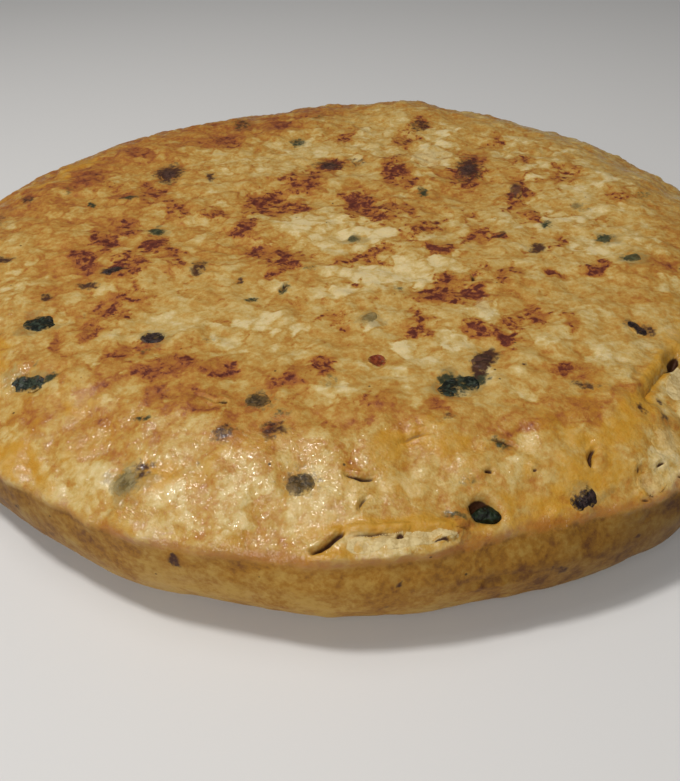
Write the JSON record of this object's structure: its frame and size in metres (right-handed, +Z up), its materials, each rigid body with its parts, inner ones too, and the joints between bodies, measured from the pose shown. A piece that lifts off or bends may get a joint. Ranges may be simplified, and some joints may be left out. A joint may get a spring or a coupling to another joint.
{
  "type": "spanish omelette",
  "caption": "Whole round Spanish potato omelette with a seared golden crust, courgette pieces in it and a small split along its front shoulder.",
  "frame": {"origin": "middle of the flat underside, under the middle of the round's box", "axes": "+Z up through the seared top; -Y towards the viewer of the picture, where the split in the shoulder is; +X to that viewer's right"},
  "size_m": [0.2402, 0.2426, 0.0364],
  "materials": {
    "egg_crust": "golden fried egg with brown sear marks, slightly oily",
    "courgette_skin": "dark green, moist",
    "browned_vegetable": "dark red-brown, moist",
    "potato_flesh": "pale cooked potato, moist"
  },
  "bodies": {
    "root": {"omelette": "egg_crust", "courgette_1": "courgette_skin", "courgette_2": "courgette_skin", "courgette_3": "courgette_skin", "courgette_4": "courgette_skin", "courgette_5": "courgette_skin", "courgette_6": "courgette_skin", "courgette_7": "courgette_skin", "courgette_8": "courgette_skin", "courgette_9": "courgette_skin", "courgette_10": "courgette_skin", "courgette_11": "courgette_skin", "courgette_12": "courgette_skin", "courgette_13": "courgette_skin", "courgette_14": "courgette_skin", "courgette_15": "courgette_skin", "courgette_16": "courgette_skin", "courgette_17": "courgette_skin", "courgette_tear": "courgette_skin", "browned_1": "browned_vegetable", "browned_2": "browned_vegetable", "browned_3": "browned_vegetable", "browned_4": "browned_vegetable", "browned_5": "browned_vegetable", "potato_slice": "potato_flesh", "potato_lump": "potato_flesh", "potato_side_1": "potato_flesh", "potato_side_2": "potato_flesh", "potato_front": "potato_flesh", "potato_hollow": "potato_flesh"}
  },
  "joints": []
}
